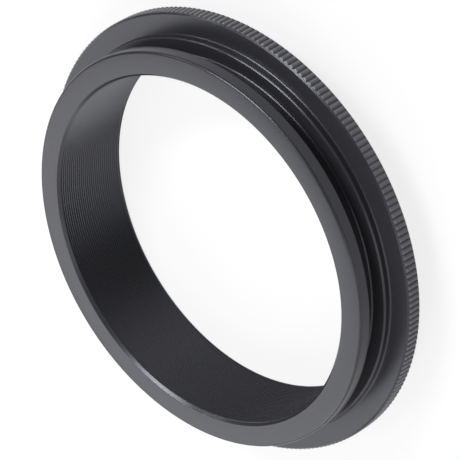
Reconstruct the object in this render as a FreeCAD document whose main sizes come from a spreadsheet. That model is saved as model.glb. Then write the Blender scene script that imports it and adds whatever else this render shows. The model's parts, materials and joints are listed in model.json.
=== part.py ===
# Thread adapter ring: one turned aluminium piece that screws into a lens thread with its
# rear barrel and offers a smooth lip and clip groove at the front, with a knurled flange
# between them for the fingers. Millimetres, +Z along the bore axis towards the front lip,
# origin on the axis at the rear end, so the ring stands on the end of its threaded barrel.
import FreeCAD
import Part
import Sketcher
import math
import os

DRIVING_SIZES = [
    ("thread_diameter", 62.0, "major diameter of the rear male thread, the filter size"),
    ("thread_chamfer", 0.5, "lead-in at the rear end of the thread"),
    ("barrel_length", 4.9, "threaded barrel with its relief, rear end to flange"),
    ("barrel_wall", 1.45, "bore to the thread's major diameter, on the radius"),
    ("relief_depth", 0.6, "thread relief below the major diameter, on the radius"),
    ("relief_width", 0.8, "floor of the thread relief beside the flange"),
    ("bore_chamfer", 0.35, "45 degree chamfer at both ends of the bore"),
    ("groove_wall", 1.75, "bore to the floor of the clip groove, on the radius"),
    ("groove_width", 3.25, "clip groove, lip to land"),
    ("lip_height", 2.35, "groove floor to the outside of the front lip, on the radius"),
    ("lip_thickness", 2.4, "lip, front face to groove"),
    ("lip_chamfer", 0.4, "front outer edge of the lip"),
    ("land_height", 2.5, "groove floor to the outside of the plain land, on the radius"),
    ("land_length", 1.3, "land, groove to flange"),
    ("edge_break", 0.25, "edges of lip and land at the groove"),
    ("corner_web", 0.2, "45 degree web that the tool leaves in each inner corner"),
    ("flange_step", 3.7, "land to the tips of the knurl, on the radius"),
    ("flange_thickness", 2.8, "flange, front face to rear face"),
    ("flange_front_chamfer", 0.4, "front edge of the knurled rim"),
    ("flange_rear_chamfer", 0.35, "rear edge of the knurled rim"),
    ("knurl_count", 236, "straight teeth round the rim"),
    ("knurl_depth", 0.22, "tip to root of one tooth"),
    ("knurl_angle", 90, "included angle of one knurl groove, degrees"),
]

# The radii build on each other from the filter size, so that the walls keep their thickness
# when the ring is made for another lens.
BORE_RADIUS = "Dimensions.thread_diameter / 2 - Dimensions.barrel_wall"
GROOVE_RADIUS = f"{BORE_RADIUS} + Dimensions.groove_wall"
LIP_RADIUS = f"{GROOVE_RADIUS} + Dimensions.lip_height"
LAND_RADIUS = f"{GROOVE_RADIUS} + Dimensions.land_height"
TIP_RADIUS = f"{LAND_RADIUS} + Dimensions.flange_step"


def point(line, place="start"):
    """A sketch names a point by its line's number and a 1, 2 or 3 for the place on it."""
    return line, ["start", "end", "centre"].index(place) + 1


# A sketch counts its own X axis as line -1, which starts at the origin.
ORIGIN = point(-1)
X_AXIS = ORIGIN[0]

doc = FreeCAD.newDocument("thread_adapter")
sheet = doc.addObject("Spreadsheet::Sheet", "Dimensions")
for row, (alias, value, meaning) in enumerate(DRIVING_SIZES, start=1):
    sheet.set(f"A{row}", alias)
    sheet.set(f"B{row}", str(value))
    sheet.set(f"C{row}", meaning)
    sheet.setAlias(f"B{row}", alias)
doc.recompute()

body = doc.addObject("PartDesign::Body", "adapter_ring")
body.Label = "adapter_ring"


def new_sketch(name, role):
    """An empty sketch on the body's own origin plane with this role, such as XY_Plane."""
    sketch = body.newObject("Sketcher::SketchObject", name)
    plane = next(item for item in body.Origin.OriginFeatures if item.Role == role)
    sketch.AttachmentSupport = (plane, "")
    sketch.MapMode = "FlatFace"
    return sketch


def bind(sketch, constraint, name, expression):
    """Add a named constraint to the sketch and drive it from the sheet."""
    index = sketch.addConstraint(constraint)
    sketch.renameConstraint(index, name)
    sketch.setExpression(f"Constraints.{name}", expression)


def close_outline(sketch, points):
    """Draw straight lines from point to point and back to the first, joined at their ends."""
    for number, (x, y) in enumerate(points):
        next_x, next_y = points[(number + 1) % len(points)]
        sketch.addGeometry(Part.LineSegment(
            FreeCAD.Vector(x, y, 0), FreeCAD.Vector(next_x, next_y, 0)))
    for number in range(len(points)):
        following = (number + 1) % len(points)
        sketch.addConstraint(Sketcher.Constraint(
            "Coincident", *point(number, "end"), *point(following)))


def circles_at(feature, places):
    """Names of the feature's circular edges at these (radius, height) places."""
    names = []
    for number, edge in enumerate(feature.Shape.Edges, start=1):
        if isinstance(edge.Curve, Part.Circle):
            for radius, height in places:
                same_radius = math.isclose(edge.Curve.Radius, radius, abs_tol=1e-5)
                same_height = math.isclose(edge.Curve.Center.z, height, abs_tol=1e-5)
                if same_radius and same_height:
                    names.append(f"Edge{number}")
    return names


def flats_at(feature, height):
    """Names of the feature's straight edges that lie level at this height."""
    names = []
    for number, edge in enumerate(feature.Shape.Edges, start=1):
        if all(math.isclose(corner.Z, height, abs_tol=1e-5) for corner in edge.Vertexes):
            names.append(f"Edge{number}")
    return names


def chamfer(name, base, edges, alias):
    """Chamfer these edges of the last feature at 45 degrees, sized by one cell of the sheet."""
    feature = body.newObject("PartDesign::Chamfer", name)
    feature.Base = (base, edges)
    feature.setExpression("Size", f"Dimensions.{alias}")
    doc.recompute()
    return feature


# Radii and heights of the section, worked out from the sheet.
thread_radius = sheet.thread_diameter / 2
relief_radius = thread_radius - sheet.relief_depth
bore_radius = thread_radius - sheet.barrel_wall
groove_radius = bore_radius + sheet.groove_wall
lip_radius = groove_radius + sheet.lip_height
land_radius = groove_radius + sheet.land_height
tip_radius = land_radius + sheet.flange_step
root_radius = tip_radius - sheet.knurl_depth
relief_start = sheet.barrel_length - sheet.relief_width
thread_end = relief_start - sheet.relief_depth
flange_front = sheet.barrel_length + sheet.flange_thickness
land_front = flange_front + sheet.land_length
lip_rear = land_front + sheet.groove_width
front = lip_rear + sheet.lip_thickness

# Flange blank: one flat for the tip of each knurl tooth, chamfered at the front and rear.
flange = body.newObject("PartDesign::AdditivePrism", "flange_blank")
flange.setExpression("Polygon", "Dimensions.knurl_count")
flange.setExpression(
    "Circumradius", f"({TIP_RADIUS}) / cos(180 deg / Dimensions.knurl_count)")
flange.setExpression("Height", "Dimensions.flange_thickness")
flange.setExpression("Placement.Base.z", "Dimensions.barrel_length")
doc.recompute()
last = chamfer("flange_front_edge", flange, flats_at(flange, flange_front),
               "flange_front_chamfer")
last = chamfer("flange_rear_edge", last, flats_at(last, sheet.barrel_length),
               "flange_rear_chamfer")

# Turned outside, as a half section in the XZ plane: out along the rear end, up the threaded
# barrel, down a 45 degree slope into the thread relief, up inside the flange, then the land,
# the clip groove and the lip, and back to the axis along the front face.
section = new_sketch("turned_section", "XZ_Plane")
corners = [
    (0, 0),
    (thread_radius, 0),
    (thread_radius, thread_end),
    (relief_radius, relief_start),
    (relief_radius, flange_front),
    (land_radius, flange_front),
    (land_radius, land_front),
    (groove_radius, land_front),
    (groove_radius, lip_rear),
    (lip_radius, lip_rear),
    (lip_radius, front),
    (0, front),
]
close_outline(section, corners)
for number, (radius, height) in enumerate(corners):
    next_radius, next_height = corners[(number + 1) % len(corners)]
    if radius == next_radius:
        section.addConstraint(Sketcher.Constraint("Vertical", number))
    elif height == next_height:
        section.addConstraint(Sketcher.Constraint("Horizontal", number))
section.addConstraint(Sketcher.Constraint("Coincident", *point(0), *ORIGIN))

# Each of these lines of the section is a turned diameter, held at its distance from the axis.
radius_rules = [
    (1, "thread_radius", thread_radius, "Dimensions.thread_diameter / 2"),
    (3, "relief_radius", relief_radius,
     "Dimensions.thread_diameter / 2 - Dimensions.relief_depth"),
    (5, "land_radius", land_radius, LAND_RADIUS),
    (7, "groove_radius", groove_radius, GROOVE_RADIUS),
    (9, "lip_radius", lip_radius, LIP_RADIUS),
]
for line, name, value, expression in radius_rules:
    constraint = Sketcher.Constraint("DistanceX", *ORIGIN, *point(line), value)
    bind(section, constraint, name, expression)

length_rules = [
    (1, "thread_length", thread_end,
     "Dimensions.barrel_length - Dimensions.relief_width - Dimensions.relief_depth"),
    (2, "relief_slope", sheet.relief_depth, "Dimensions.relief_depth"),
    (3, "relief_and_flange", flange_front - relief_start,
     "Dimensions.relief_width + Dimensions.flange_thickness"),
    (5, "land_length", sheet.land_length, "Dimensions.land_length"),
    (7, "groove_width", sheet.groove_width, "Dimensions.groove_width"),
    (9, "lip_thickness", sheet.lip_thickness, "Dimensions.lip_thickness"),
]
for line, name, value, expression in length_rules:
    constraint = Sketcher.Constraint("DistanceY", *point(line), *point(line, "end"), value)
    bind(section, constraint, name, expression)

turned = body.newObject("PartDesign::Revolution", "turned_outside")
turned.Profile = section
turned.ReferenceAxis = (section, ["V_Axis"])
turned.Angle = 360
doc.recompute()

# Straight bore through the whole length.
bore_circle = new_sketch("bore_circle", "XY_Plane")
bore_circle.addGeometry(Part.Circle(FreeCAD.Vector(), FreeCAD.Vector(0, 0, 1), bore_radius))
bore_circle.addConstraint(Sketcher.Constraint("Coincident", *point(0, "centre"), *ORIGIN))
bind(bore_circle, Sketcher.Constraint("Radius", 0, bore_radius), "bore_radius", BORE_RADIUS)
bore = body.newObject("PartDesign::Pocket", "bore")
bore.Profile = bore_circle
bore.Type = "ThroughAll"
bore.Reversed = True
doc.recompute()

# Turned edges and inner corners, each group to its own size.
last = bore
turned_edges = [
    ("bore_ends", "bore_chamfer", [(bore_radius, front), (bore_radius, 0)]),
    ("lip_front_edge", "lip_chamfer", [(lip_radius, front)]),
    ("thread_lead_in", "thread_chamfer", [(thread_radius, 0)]),
    ("groove_edges", "edge_break", [(lip_radius, lip_rear), (land_radius, land_front)]),
    ("inner_corners", "corner_web", [
        (groove_radius, lip_rear),
        (groove_radius, land_front),
        (land_radius, flange_front),
    ]),
]
for name, alias, places in turned_edges:
    last = chamfer(name, last, circles_at(last, places), alias)
plain_volume = last.Shape.Volume

# One knurl groove is a V along the rim, between two tooth tips, pointing at the axis. It is
# drawn as far outside the tips as it is deep, so that it opens cleanly.
mouth_radius = tip_radius + sheet.knurl_depth
half_mouth = mouth_radius - root_radius
knurl_groove = new_sketch("knurl_groove", "XY_Plane")
close_outline(knurl_groove, [
    (root_radius, 0),
    (mouth_radius, -half_mouth),
    (mouth_radius, half_mouth),
])
knurl_groove.addConstraint(Sketcher.Constraint("PointOnObject", *point(0), X_AXIS))
knurl_groove.addConstraint(Sketcher.Constraint("Symmetric", *point(1), *point(1, "end"), X_AXIS))
groove_rules = [
    ("DistanceX", (*ORIGIN, *point(0)), root_radius, "root_radius",
     f"{TIP_RADIUS} - Dimensions.knurl_depth"),
    ("DistanceX", (*ORIGIN, *point(1)), mouth_radius, "mouth_radius",
     f"{TIP_RADIUS} + Dimensions.knurl_depth"),
    ("DistanceY", (*point(1), *point(1, "end")), 2 * half_mouth, "mouth_width",
     "4 * Dimensions.knurl_depth * tan(Dimensions.knurl_angle * 1 deg / 2)"),
]
for kind, points, value, name, expression in groove_rules:
    bind(knurl_groove, Sketcher.Constraint(kind, *points, value), name, expression)

first_groove = body.newObject("PartDesign::Pocket", "first_knurl_groove")
first_groove.Profile = knurl_groove
first_groove.Type = "ThroughAll"
first_groove.Reversed = True
doc.recompute()

knurl = body.newObject("PartDesign::PolarPattern", "knurl")
knurl.Originals = [first_groove]
knurl.Axis = (knurl_groove, ["N_Axis"])
knurl.Angle = 360
knurl.setExpression("Occurrences", "Dimensions.knurl_count")
body.Tip = knurl
doc.recompute()

for item in doc.Objects:
    faults = [state for state in item.State if state in ("Invalid", "Error")]
    if faults:
        raise RuntimeError(f"{item.Name} did not build: {faults}")
ring = body.Shape
if ring.isNull() or not ring.isValid() or len(ring.Solids) != 1:
    raise RuntimeError("the ring is not one valid solid")
knurl_volume = plain_volume - ring.Volume
if knurl_volume <= 0:
    raise RuntimeError("the knurl cut nothing")

print(f"ring: {ring.Volume:.1f} mm3, {len(ring.Faces)} faces, knurl took {knurl_volume:.1f} mm3")
os.makedirs("parts", exist_ok=True)
ring.exportStep(f"parts/{body.Label}.step")
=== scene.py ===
# %% [markdown]
# # A black lens adapter ring, made in Blender
#
# The ring is one turned piece of aluminium: a smooth lip in front, a groove behind it, a
# plain land, a wide flange with a knurled rim, and a threaded barrel behind that goes into
# a lens. This lesson draws its section, spins it, cuts the knurl and both threads, closes
# everything into one mesh and gives it a black anodised finish.
#
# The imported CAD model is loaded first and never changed. It tells us where the ring is and
# how large it is, in metres.

# %% Load the CAD model
import bmesh
import bpy
import json
import math
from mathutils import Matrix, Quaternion, Vector


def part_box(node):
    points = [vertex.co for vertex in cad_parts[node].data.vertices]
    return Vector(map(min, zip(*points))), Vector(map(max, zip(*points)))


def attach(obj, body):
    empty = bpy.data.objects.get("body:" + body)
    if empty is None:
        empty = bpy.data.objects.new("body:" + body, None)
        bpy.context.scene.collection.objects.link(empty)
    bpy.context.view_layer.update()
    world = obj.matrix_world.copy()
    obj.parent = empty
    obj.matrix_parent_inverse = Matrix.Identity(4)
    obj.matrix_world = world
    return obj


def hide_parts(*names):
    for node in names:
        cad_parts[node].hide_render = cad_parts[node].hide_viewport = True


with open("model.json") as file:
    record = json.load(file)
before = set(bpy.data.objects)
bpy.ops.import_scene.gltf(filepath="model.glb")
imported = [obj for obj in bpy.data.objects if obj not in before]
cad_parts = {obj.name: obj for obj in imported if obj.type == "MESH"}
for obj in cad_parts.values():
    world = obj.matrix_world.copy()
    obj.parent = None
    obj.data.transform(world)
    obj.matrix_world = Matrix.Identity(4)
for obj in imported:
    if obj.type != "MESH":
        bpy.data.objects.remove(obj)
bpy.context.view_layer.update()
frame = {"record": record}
MM = 0.001
low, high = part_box("adapter_ring")
mounts = {mount["name"]: mount for mount in frame["record"]["mounts"]}
print("ring in mm:", [round(side / MM, 2) for side in high - low])

# %% [markdown]
# ## Camera
#
# The camera looks down at the ring from 40 degrees above the plane of its front face, from
# far away through a long lens, so the circles are nearly perfect ellipses. It is also rolled
# about its own line of sight, which makes the ring lean in the picture. The aim is a point
# in the plane of the front face; distance and lens together set how large the ring is.

# %% Place the camera
VIEW_ELEVATION = math.radians(39.602)
VIEW_ROLL = math.radians(-120.514)
VIEW_DISTANCE = 542.19 * MM
LENS_LENGTH = 275.416
SENSOR_WIDTH = 36
aim = Vector((0.259 * MM, -10.242 * MM, high.z))
towards_camera = Vector((0, -math.cos(VIEW_ELEVATION), math.sin(VIEW_ELEVATION)))

bpy.ops.object.camera_add(location=aim + towards_camera * VIEW_DISTANCE)
camera = bpy.context.object
level = (-towards_camera).to_track_quat("-Z", "Y")
camera.rotation_euler = (level @ Quaternion((0, 0, 1), VIEW_ROLL)).to_euler()
camera.data.lens = LENS_LENGTH
camera.data.sensor_width = SENSOR_WIDTH
bpy.context.scene.camera = camera
print("camera at", [round(value / MM) for value in camera.location], "mm")

# %% [markdown]
# ## Colours and nodes
#
# Colours are written as sRGB hex values, as a paint program shows them. Blender's shaders
# work in linear light, so one function converts them. A second function adds a shader node,
# sets its values and links its inputs, so that each material below reads as a short list.
# An input is called by its name, with _ for a space, or by _ and its number.

# %% Colour and node helpers
def linear(hex_colour):
    """A colour such as "#808080" as linear red, green, blue and alpha."""
    channels = [int(hex_colour[place:place + 2], 16) / 255 for place in (1, 3, 5)]
    return [c / 12.92 if c <= 0.04045 else ((c + 0.055) / 1.055) ** 2.4
            for c in channels] + [1]


def add_node(tree, kind, settings=None, **inputs):
    """Adds a node; settings are its own choices, inputs are values or sockets to link."""
    node = tree.nodes.new(kind)
    for name, value in (settings or {}).items():
        setattr(node, name, value)
    for name, value in inputs.items():
        number = name[1:]
        socket = node.inputs[int(number) if number.isdigit() else name.replace("_", " ")]
        if isinstance(value, bpy.types.NodeSocket):
            tree.links.new(value, socket)
        else:
            socket.default_value = value
    return node


def new_material(name):
    """A material without nodes, and its empty node tree."""
    material = bpy.data.materials.new(name)
    material.use_nodes = True
    material.node_tree.nodes.clear()
    return material, material.node_tree


print("middle grey in linear light:", round(linear("#808080")[0], 3))

# %% [markdown]
# ## Floor
#
# The ring lies on a white sweep of paper. The white comes from a glow that only rays from
# the camera, a reflection or a view through glass can see, so the floor looks white without
# any more light on the ring. Its matt part still takes the shadow.

# %% Build the floor
FLOOR_SIZE = 6
FLOOR_GLOW = 0.82
bpy.ops.object.select_all(action="DESELECT")
bpy.ops.mesh.primitive_plane_add(size=FLOOR_SIZE)
floor = bpy.context.object
floor.name = "floor"
paper, tree = new_material("white_paper_sweep")
path = add_node(tree, "ShaderNodeLightPath")
seen = add_node(tree, "ShaderNodeMath", {"operation": "MAXIMUM"},
                _0=path.outputs["Is Camera Ray"], _1=path.outputs["Is Glossy Ray"])
seen = add_node(tree, "ShaderNodeMath", {"operation": "MAXIMUM"},
                _0=seen.outputs[0], _1=path.outputs["Is Transmission Ray"])
glow = add_node(tree, "ShaderNodeMath", {"operation": "MULTIPLY"},
                _0=seen.outputs[0], _1=FLOOR_GLOW)
matt = add_node(tree, "ShaderNodeBsdfDiffuse", Color=linear("#6C6C6D"))
shine = add_node(tree, "ShaderNodeEmission", Color=linear("#FFFFFF"),
                 Strength=glow.outputs[0])
both = add_node(tree, "ShaderNodeAddShader", _0=matt.outputs[0], _1=shine.outputs[0])
add_node(tree, "ShaderNodeOutputMaterial", Surface=both.outputs[0])
floor.data.materials.append(paper)
print("floor:", paper.name)

# %% [markdown]
# ## Light
#
# A black satin ring shows little but what it mirrors, so each soft box stands where some
# part of the ring mirrors it. The rear box lies in the front face as an even grey. The key
# is a long, narrow strip: it draws the thin bright lines along the turned edges and the
# crescent on the chamfer of the bore, and the small glint lengthens that crescent. The side,
# crown and top boxes lie in the flanks of the fine thread, so the bore is lighter above and
# below than in its middle. The fill, wide and low on the left, lights the rim and the outer
# walls, and a weak box in front softens the shadows. Together with a dim world they give a
# plain light level.

# %% Light the ring
WORLD_STRENGTH = 0.1
LAMP_DISTANCE = 1.2
world = bpy.data.worlds.new("soft_studio")
world.use_nodes = True
world.node_tree.nodes.clear()
sky = add_node(world.node_tree, "ShaderNodeBackground", Color=linear("#FFFFFF"),
               Strength=WORLD_STRENGTH)
add_node(world.node_tree, "ShaderNodeOutputWorld", Surface=sky.outputs[0])
bpy.context.scene.world = world
bpy.context.scene.view_settings.view_transform = "Standard"


def soft_box(name, direction, width, height, watts):
    """A rectangular area lamp that faces the ring from this direction."""
    place = Vector(direction).normalized() * LAMP_DISTANCE
    bpy.ops.object.light_add(type="AREA", location=place)
    lamp = bpy.context.object
    lamp.name = name
    lamp.rotation_euler = place.to_track_quat("Z", "Y").to_euler()
    lamp.data.shape = "RECTANGLE"
    lamp.data.size = width
    lamp.data.size_y = height
    lamp.data.energy = watts


soft_box("key", (0.63, -0.31, 0.71), width=0.64, height=0.15, watts=9.8)
soft_box("rear", (-0.04, 0.77, 0.64), width=0.85, height=0.85, watts=5.1)
soft_box("fill", (-0.92, -0.13, 0.36), width=1.9, height=0.8, watts=5.0)
soft_box("glint", (0.88, 0.12, 0.46), width=0.15, height=0.15, watts=1.0)
soft_box("side", (-0.60, 0.60, 0.53), width=0.6, height=0.75, watts=4.4)
soft_box("crown", (-0.49, 0.06, 0.87), width=0.6, height=0.45, watts=3.6)
soft_box("top", (0.26, -0.10, 0.96), width=0.5, height=0.38, watts=2.2)
soft_box("front", (-0.50, -0.50, 0.71), width=0.5, height=0.5, watts=1.2)

# %% [markdown]
# ## The turned section
#
# A lathe makes round forms from a section, and so do we. Stacked cylinders could be joined
# instead, but a section keeps all radii and heights in one short list. It has three
# stretches, because the knurled rim and the two threads come between them and are made in
# their own way. First come its sizes, some of them from the mounts of the CAD model.

# %% Sizes of the section
bore_radius = mounts["bore"]["dims"]["r_mm"] * MM
bore_chamfer = 0.4 * MM
plain_entry = 0.2 * MM
bore_entry = bore_chamfer + plain_entry
lip_radius = mounts["front_lip"]["dims"]["r_mm"] * MM
lip_length = 2.4 * MM
groove_radius = 31.3 * MM
groove_width = 3.25 * MM
land_radius = 33.8 * MM
land_length = 1.3 * MM
rim_radius = 37.5 * MM
flange_width = 2.8 * MM
rim_front_chamfer = 0.4 * MM
rim_rear_chamfer = 0.35 * MM
relief_radius = 30.4 * MM
relief_width = 0.8 * MM
thread_radius = mounts["rear_thread"]["dims"]["r_mm"] * MM
lead_in = 0.5 * MM
lip_rear = high.z - lip_length
land_front = lip_rear - groove_width
flange_front = land_front - land_length
flange_rear = flange_front - flange_width
relief_floor = flange_rear - relief_width
print("front of the flange at", round(flange_front / MM, 2), "mm, its rear at",
      round(flange_rear / MM, 2), "mm")

# %% [markdown]
# The corners follow from these sizes. Each is a pair: its distance from the axis and its
# height. The flat faces of the flange stop a little short of the rim, and a ring that is
# filled later joins the two.

# %% Corners of the section
face_margin = 0.5 * MM
lip_front_edge = (lip_radius, high.z)
lip_rear_edge = (lip_radius, lip_rear)
groove_front_corner = (groove_radius, lip_rear)
groove_rear_corner = (groove_radius, land_front)
land_edge = (land_radius, land_front)
land_corner = (land_radius, flange_front)
front_face_end = (rim_radius - rim_front_chamfer - face_margin, flange_front)
rear_face_end = (rim_radius - rim_rear_chamfer - face_margin, flange_rear)
relief_corner = (relief_radius, flange_rear)

front_line = [
    (bore_radius, high.z - bore_entry),
    (bore_radius, high.z - bore_chamfer),
    (bore_radius + bore_chamfer, high.z),
    lip_front_edge,
    lip_rear_edge,
    groove_front_corner,
    groove_rear_corner,
    land_edge,
    land_corner,
    front_face_end,
]
relief_line = [rear_face_end, relief_corner, (relief_radius, relief_floor)]
rear_line = [
    (thread_radius - lead_in, 0),
    (bore_radius + bore_chamfer, 0),
    (bore_radius, bore_chamfer),
    (bore_radius, bore_entry),
]
print("corners:", len(front_line) + len(relief_line) + len(rear_line))

# %% [markdown]
# The section becomes a wire: one vertex, extruded from corner to corner in the plane through
# the axis, with the radius along X and the height along Z. A single vertex is a plane whose
# four corners are merged at its centre.

# %% Draw the wire
def new_wire(name, *lines):
    """A mesh object in edit mode that holds these open lines of (radius, height) points."""
    bpy.ops.object.select_all(action="DESELECT")
    bpy.ops.mesh.primitive_plane_add(size=MM)
    wire = bpy.context.object
    wire.name = name
    bpy.ops.object.mode_set(mode="EDIT")
    bpy.ops.mesh.select_mode(type="VERT")
    bpy.ops.mesh.delete(type="VERT")
    for line in lines:
        bpy.ops.mesh.select_all(action="DESELECT")
        bpy.ops.mesh.primitive_plane_add(size=MM)
        bpy.ops.mesh.merge(type="CENTER")
        points = [Vector((radius, 0, height)) for radius, height in line]
        bpy.ops.transform.translate(value=points[0])
        for here, there in zip(points, points[1:]):
            step = {"value": there - here}
            bpy.ops.mesh.extrude_vertices_move(TRANSFORM_OT_translate=step)
    return wire


turned = new_wire("turned_adapter_ring", front_line, relief_line, rear_line)
print("wire vertices:", len(bmesh.from_edit_mesh(turned.data).verts))

# %% [markdown]
# Bevelling the vertices of the wire rounds its corners before the spin, which is easier than
# bevelling whole circles of edges after it. The tool's nose leaves a radius in each inner
# corner, and outer edges are broken by a touch of the file. A low bevel profile makes them
# nearly flat, with soft ends. They catch the light and draw the fine bright lines on such a
# ring. The chamfers of the bore are cut by the tool itself, so they stay crisp.

# %% Round its corners
NEAR = 0.01 * MM
tool_nose = 0.2 * MM
edge_break = 0.25 * MM
lip_round = 0.4 * MM


def pick(parts, test):
    """Selects, in edit mode, only the "verts" or "edges" that pass the test."""
    bpy.ops.mesh.select_mode(type="VERT" if parts == "verts" else "EDGE")
    bpy.ops.mesh.select_all(action="DESELECT")
    shape = bmesh.from_edit_mesh(bpy.context.object.data)
    for part in getattr(shape, parts):
        part.select_set(test(part))
    shape.select_flush_mode()
    bmesh.update_edit_mesh(bpy.context.object.data)


def round_corners(corners, size, segments=5, profile=0.3):
    """Bevels the wire at these corners; profile 0.25 is a flat and 0.5 a quarter circle."""
    places = [Vector((radius, 0, height)) for radius, height in corners]
    pick("verts", lambda vertex: any((vertex.co - place).length < NEAR for place in places))
    bpy.ops.mesh.bevel(offset=size, segments=segments, profile=profile, affect="VERTICES")


inner_corners = [groove_front_corner, groove_rear_corner, land_corner, relief_corner]
round_corners(inner_corners, tool_nose)
round_corners([lip_rear_edge, land_edge], edge_break)
round_corners([lip_front_edge], lip_round, segments=8, profile=0.4)
print("rounded wire vertices:", len(bmesh.from_edit_mesh(turned.data).verts))

# %% [markdown]
# One spin about the axis turns the wire into walls. It has as many steps as the knurl has
# teeth, so that rim, threads and walls fit together. The spin ends where it began, and the
# vertices that meet there are merged.

# %% Spin the section
TOOTH_COUNT = 236
MERGE_DISTANCE = 0.001 * MM


def spin(steps):
    """Spins everything in the mesh once round the axis."""
    bpy.ops.mesh.select_all(action="SELECT")
    bpy.ops.mesh.spin(steps=steps, angle=math.tau, center=(0, 0, 0), axis=(0, 0, 1))
    bpy.ops.mesh.select_all(action="SELECT")
    bpy.ops.mesh.remove_doubles(threshold=MERGE_DISTANCE)


spin(TOOTH_COUNT)
bpy.ops.object.mode_set(mode="OBJECT")
print("turned faces:", len(turned.data.polygons))

# %% [markdown]
# ## The knurled rim
#
# A knurl is pressed or cut into the rim so that fingers can turn the ring. One tooth could
# be modelled and copied round, but then hundreds of seams would have to be closed. Here the
# rim is a narrow band, spun in eight columns for each tooth.

# %% Spin the rim
COLUMNS = 8
rim_line = [
    (rim_radius - rim_front_chamfer, flange_front),
    (rim_radius, flange_front - rim_front_chamfer),
    (rim_radius, flange_rear + rim_rear_chamfer),
    (rim_radius - rim_rear_chamfer, flange_rear),
]
rim = new_wire("knurled_rim", rim_line)
spin(TOOTH_COUNT * COLUMNS)
print("rim vertices:", len(bmesh.from_edit_mesh(rim.data).verts))

# %% [markdown]
# Every eighth column is the bottom of a groove, and one scale about the axis sinks all of
# them at once. The columns beside it sink less and less, so the teeth have round shoulders.
# Where a groove meets the chamfers, its ends slide along them, which gives the rim its
# scalloped edge.

# %% Sink its grooves
groove_depths = [0.22 * MM, 0.16 * MM, 0.07 * MM, 0.015 * MM]
rim_middle = (flange_front + flange_rear) / 2


def column_of(vertex):
    """How many columns this vertex is away from the bottom of its groove."""
    turn = math.atan2(vertex.co.y, vertex.co.x) / math.tau * TOOTH_COUNT * COLUMNS
    place = round(turn) % COLUMNS
    return min(place, COLUMNS - place)


def on_rim(vertex):
    """True for the two outer edges of the band, which the grooves cut."""
    return abs(vertex.co.xy.length - rim_radius) < NEAR


for column, depth in enumerate(groove_depths):
    scale = (rim_radius - depth) / rim_radius
    for side in (1, -1):
        pick("verts", lambda vertex: on_rim(vertex) and column_of(vertex) == column
             and (vertex.co.z - rim_middle) * side > 0)
        bpy.ops.transform.translate(value=(0, 0, depth * side))
        bpy.ops.transform.resize(value=(scale, scale, 1), center_override=(0, 0, 0))
bpy.ops.object.mode_set(mode="OBJECT")
print("rim faces:", len(rim.data.polygons))

# %% [markdown]
# ## The two threads
#
# A fine thread lines the bore. Nothing screws into it: its flanks turn stray light away from
# the lens. The coarser thread on the rear barrel is the one that holds the ring. Stacked
# rings would look much the same from afar, but a thread is a helix, so we draw the outline
# of one turn and let the screw operator carry it round and up. An array stacks the turns,
# too many of them, and bisect trims the stack to its place.

# %% Screw the baffle thread
def new_thread(name, outline, bottom, top):
    """One turn of a right-hand thread, stacked and then trimmed between two heights."""
    spare_turns = 2
    cut_slack = 0.0001 * MM
    pitch = outline[-1][1] - outline[0][1]
    thread = new_wire(name, outline)
    bpy.ops.mesh.select_all(action="SELECT")
    bpy.ops.mesh.screw(steps=TOOTH_COUNT, turns=1, center=(0, 0, 0), axis=(0, 0, -1))
    bpy.ops.object.mode_set(mode="OBJECT")
    bpy.ops.object.modifier_add(type="ARRAY")
    stack = thread.modifiers[0]
    stack.count = math.ceil((top - bottom) / pitch) + spare_turns
    stack.use_relative_offset = False
    stack.use_constant_offset = True
    stack.constant_offset_displace = (0, 0, pitch)
    bpy.ops.object.modifier_apply(modifier=stack.name)
    bpy.ops.object.mode_set(mode="EDIT")
    bpy.ops.mesh.select_all(action="SELECT")
    bpy.ops.mesh.remove_doubles(threshold=MERGE_DISTANCE)
    for height, outwards in ((bottom, -1), (top, 1)):
        bpy.ops.mesh.select_all(action="SELECT")
        bpy.ops.mesh.bisect(plane_co=(0, 0, height), plane_no=(0, 0, outwards),
                            clear_outer=True, threshold=cut_slack)
    bpy.ops.object.mode_set(mode="OBJECT")
    print(name, "faces:", len(thread.data.polygons))
    return thread


baffle_pitch = 0.46 * MM
baffle_depth = 0.33 * MM
baffle_flat = 0.03 * MM
baffle_flank = baffle_pitch / 2 - baffle_flat
baffle_run_out = 0.1 * MM
baffle_bottom = bore_entry + baffle_run_out
baffle_top = high.z - baffle_bottom
baffle_start = baffle_bottom - baffle_pitch
baffle_outline = [
    (bore_radius, baffle_start),
    (bore_radius, baffle_start + baffle_flat),
    (bore_radius + baffle_depth, baffle_start + baffle_flat + baffle_flank),
    (bore_radius + baffle_depth, baffle_start + 2 * baffle_flat + baffle_flank),
    (bore_radius, baffle_start + baffle_pitch),
]
baffle = new_thread("baffle_thread", baffle_outline, baffle_bottom, baffle_top)

# %% [markdown]
# The rear thread has the standard metric form: 60 degrees between its flanks, and a crest
# as wide as an eighth of the pitch. It stops short of the relief, where the tool runs out.

# %% Screw the rear thread
screw_pitch = 0.75 * MM
screw_depth = 0.46 * MM
screw_crest = screw_pitch / 8
half_thread_angle = math.radians(30)
screw_flank = screw_depth * math.tan(half_thread_angle)
screw_start = lead_in - screw_pitch
thread_end = 3.5 * MM
screw_outline = [
    (thread_radius, screw_start),
    (thread_radius, screw_start + screw_crest),
    (thread_radius - screw_depth, screw_start + screw_crest + screw_flank),
    (thread_radius - screw_depth, screw_start + screw_pitch - screw_flank),
    (thread_radius, screw_start + screw_pitch),
]
screw = new_thread("rear_thread", screw_outline, lead_in, thread_end)

# %% [markdown]
# ## One closed piece
#
# The real ring is a single piece of metal, so the four meshes become one. Each of them still
# has open ends where the next one follows.

# %% Join the meshes
bpy.ops.object.select_all(action="DESELECT")
for piece in (rim, baffle, screw, turned):
    piece.select_set(True)
bpy.context.view_layer.objects.active = turned
bpy.ops.object.join()
print("joined faces:", len(turned.data.polygons))

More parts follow.
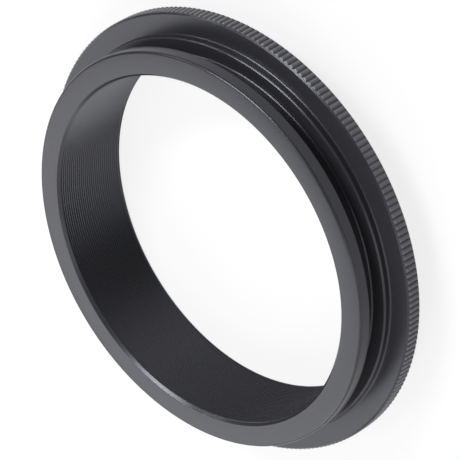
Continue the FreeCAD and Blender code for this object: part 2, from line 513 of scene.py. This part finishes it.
# %% [markdown]
# Now the gaps between them are closed. The two flat rings of the flange are filled, because
# the rim has eight times as many columns as the face beside it. The ends of the threads are
# bridged, which also makes their run-out.

# %% Fill and bridge the gaps
bpy.ops.object.mode_set(mode="EDIT")


def pick_open_loops(radii, heights):
    """Selects the open edges that lie between these radii and these heights."""
    slack = 0.03 * MM

    def inside(vertex):
        radius = vertex.co.xy.length
        return (radii[0] - slack < radius < radii[1] + slack
                and heights[0] - slack < vertex.co.z < heights[1] + slack)

    pick("edges", lambda edge: edge.is_boundary and all(inside(v) for v in edge.verts))


flat_rings = [
    ((front_face_end[0], rim_line[0][0]), (flange_front, flange_front)),
    ((rear_face_end[0], rim_line[-1][0]), (flange_rear, flange_rear)),
]
for radii, heights in flat_rings:
    pick_open_loops(radii, heights)
    bpy.ops.mesh.fill()
baffle_radii = (bore_radius, bore_radius + baffle_depth)
thread_ends = [
    (baffle_radii, (baffle_top, high.z - bore_entry)),
    (baffle_radii, (bore_entry, baffle_bottom)),
    ((relief_radius, thread_radius), (thread_end, relief_floor)),
    ((thread_radius - lead_in, thread_radius), (0, lead_in)),
]
for radii, heights in thread_ends:
    pick_open_loops(radii, heights)
    bpy.ops.mesh.bridge_edge_loops()
print("gaps closed:", len(flat_rings) + len(thread_ends))

# %% [markdown]
# Last, doubles are merged and normals turned outwards. A count of open edges tells us
# whether the shell is closed, and a volume above zero that it isn't inside out. Smooth
# shading stops at edges sharper than 30 degrees, so the chamfers and the thread stay crisp.

# %% Merge, turn outwards and smooth
SMOOTH_ANGLE = math.radians(30)
bpy.ops.mesh.select_all(action="SELECT")
bpy.ops.mesh.remove_doubles(threshold=MERGE_DISTANCE)
bpy.ops.mesh.normals_make_consistent(inside=False)
shell = bmesh.from_edit_mesh(turned.data)
open_edges = [edge for edge in shell.edges if not edge.is_manifold]
volume = shell.calc_volume(signed=True)
bpy.ops.object.mode_set(mode="OBJECT")
bpy.ops.object.shade_smooth_by_angle(angle=SMOOTH_ANGLE)
turned.data.calc_loop_triangles()
print("open edges:", len(open_edges), "volume mm3:", round(volume / MM ** 3, 1),
      "triangles:", len(turned.data.loop_triangles))

# %% [markdown]
# ## Black anodised aluminium
#
# Anodising grows a thin glassy oxide on the metal, and a black dye fills its pores. Fine
# rings from the turning tool show through. They lie at equal radius on flat faces and at
# equal height on cylinders, so a noise that is read from radius and height alone follows
# both. The dye is slightly uneven, which a second noise shows.

# %% Draw the feed marks and the grain
# A real feed is nearer 0.08 mm, too fine to show in a picture of the whole ring.
TOOL_FEED = 0.2 * MM
# Single pores can't be seen at all. The dye's slight unevenness is drawn coarse enough
# to show.
DYE_GRAIN = 0.3 * MM
finish, tree = new_material("black_anodised_aluminium")
place = add_node(tree, "ShaderNodeTexCoord")
axes = add_node(tree, "ShaderNodeSeparateXYZ", Vector=place.outputs["Object"])
across = add_node(tree, "ShaderNodeCombineXYZ", X=axes.outputs["X"], Y=axes.outputs["Y"])
radius = add_node(tree, "ShaderNodeVectorMath", {"operation": "LENGTH"},
                  _0=across.outputs[0])
ring_place = add_node(tree, "ShaderNodeCombineXYZ", X=radius.outputs["Value"],
                      Y=axes.outputs["Z"])
feed_marks = add_node(tree, "ShaderNodeTexNoise", {"noise_dimensions": "3D"},
                      Vector=ring_place.outputs[0], Scale=1 / TOOL_FEED, Detail=2.0)
grain = add_node(tree, "ShaderNodeTexNoise", {"noise_dimensions": "3D"},
                 Vector=place.outputs["Object"], Scale=1 / DYE_GRAIN, Detail=1.0)
print("feed marks and grain in mm:", TOOL_FEED / MM, DYE_GRAIN / MM)

# %% [markdown]
# The eye sees the dye, with a satin gloss from the oxide on top. The dye hides the metal, so
# this is a dielectric and not a metal shader, and because the oxide is porous it mirrors
# less than solid glass: the specular level is lower than the usual 0.5. The tips of the
# knurl are painted greyer, a painted highlight for the light they catch, while the grooves
# between them keep the full black of the dye as painted shade.

# %% Dye the ring and seal it
# Between these two radii the knurl tips and the outer edge of the rim are painted lighter, a
# painted highlight, and the grooves stay dark as painted shade.
SHEEN_PAINT_STARTS = rim_radius - 0.20 * MM
SHEEN_PAINT_IS_FULL = rim_radius - 0.03 * MM
MARK_DEPTH = 0.004 * MM
satin = add_node(tree, "ShaderNodeMapRange", Value=feed_marks.outputs["Fac"],
                 To_Min=0.26, To_Max=0.31)
dye = add_node(tree, "ShaderNodeMix", {"data_type": "RGBA"}, Factor=grain.outputs["Fac"],
               _6=linear("#28282C"), _7=linear("#343438"))
# Painted highlight: the colour turns from the dye to a light grey towards the rim.
painted_tip_sheen = add_node(tree, "ShaderNodeMapRange", Value=radius.outputs["Value"],
                From_Min=SHEEN_PAINT_STARTS, From_Max=SHEEN_PAINT_IS_FULL)
colour = add_node(tree, "ShaderNodeMix", {"data_type": "RGBA"}, Factor=painted_tip_sheen.outputs[0],
                  _6=dye.outputs[2], _7=linear("#6C6C70"))
marks = add_node(tree, "ShaderNodeBump", Height=feed_marks.outputs["Fac"],
                 Strength=0.1, Distance=MARK_DEPTH)
oxide = add_node(tree, "ShaderNodeBsdfPrincipled", Base_Color=colour.outputs[2],
                 Roughness=satin.outputs[0], IOR=1.5, Specular_IOR_Level=0.44,
                 Specular_Tint=linear("#F2F4FF"), Normal=marks.outputs[0])
add_node(tree, "ShaderNodeOutputMaterial", Surface=oxide.outputs[0])
turned.data.materials.clear()
turned.data.materials.append(finish)
print("finish:", finish.name)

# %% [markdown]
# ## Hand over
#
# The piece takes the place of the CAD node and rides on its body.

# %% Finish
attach(turned, "root")
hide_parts("adapter_ring")
bpy.context.view_layer.update()
